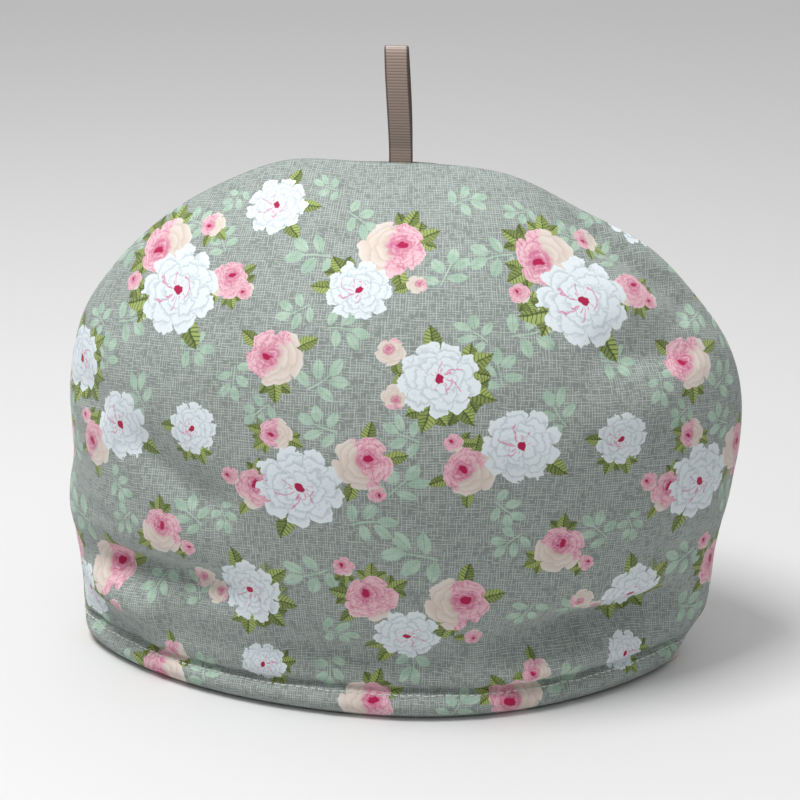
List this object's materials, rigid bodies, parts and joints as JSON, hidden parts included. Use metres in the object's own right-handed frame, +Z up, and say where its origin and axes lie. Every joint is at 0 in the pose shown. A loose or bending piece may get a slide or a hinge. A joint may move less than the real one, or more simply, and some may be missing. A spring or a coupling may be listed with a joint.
{
  "type": "tea cosy",
  "caption": "Padded cloth tea cosy: a domed hood of front and back quilted panels, open at the hem, with a ribbon loop at the crown to lift or hang it by.",
  "frame": {"origin": "middle of the object's box, on the surface that the hem stands on", "axes": "+Z up, +X along the crown seam and the longest side, -Y out of the front panel"},
  "size_m": [0.2846, 0.158, 0.2592],
  "materials": {
    "printed_cotton": "matte woven cotton with a small floral print",
    "grosgrain_ribbon": "ribbed ribbon with a slight sheen"
  },
  "bodies": {
    "root": {"front_panel": "printed_cotton", "back_panel": "printed_cotton", "hanging_loop": "grosgrain_ribbon"}
  },
  "joints": []
}
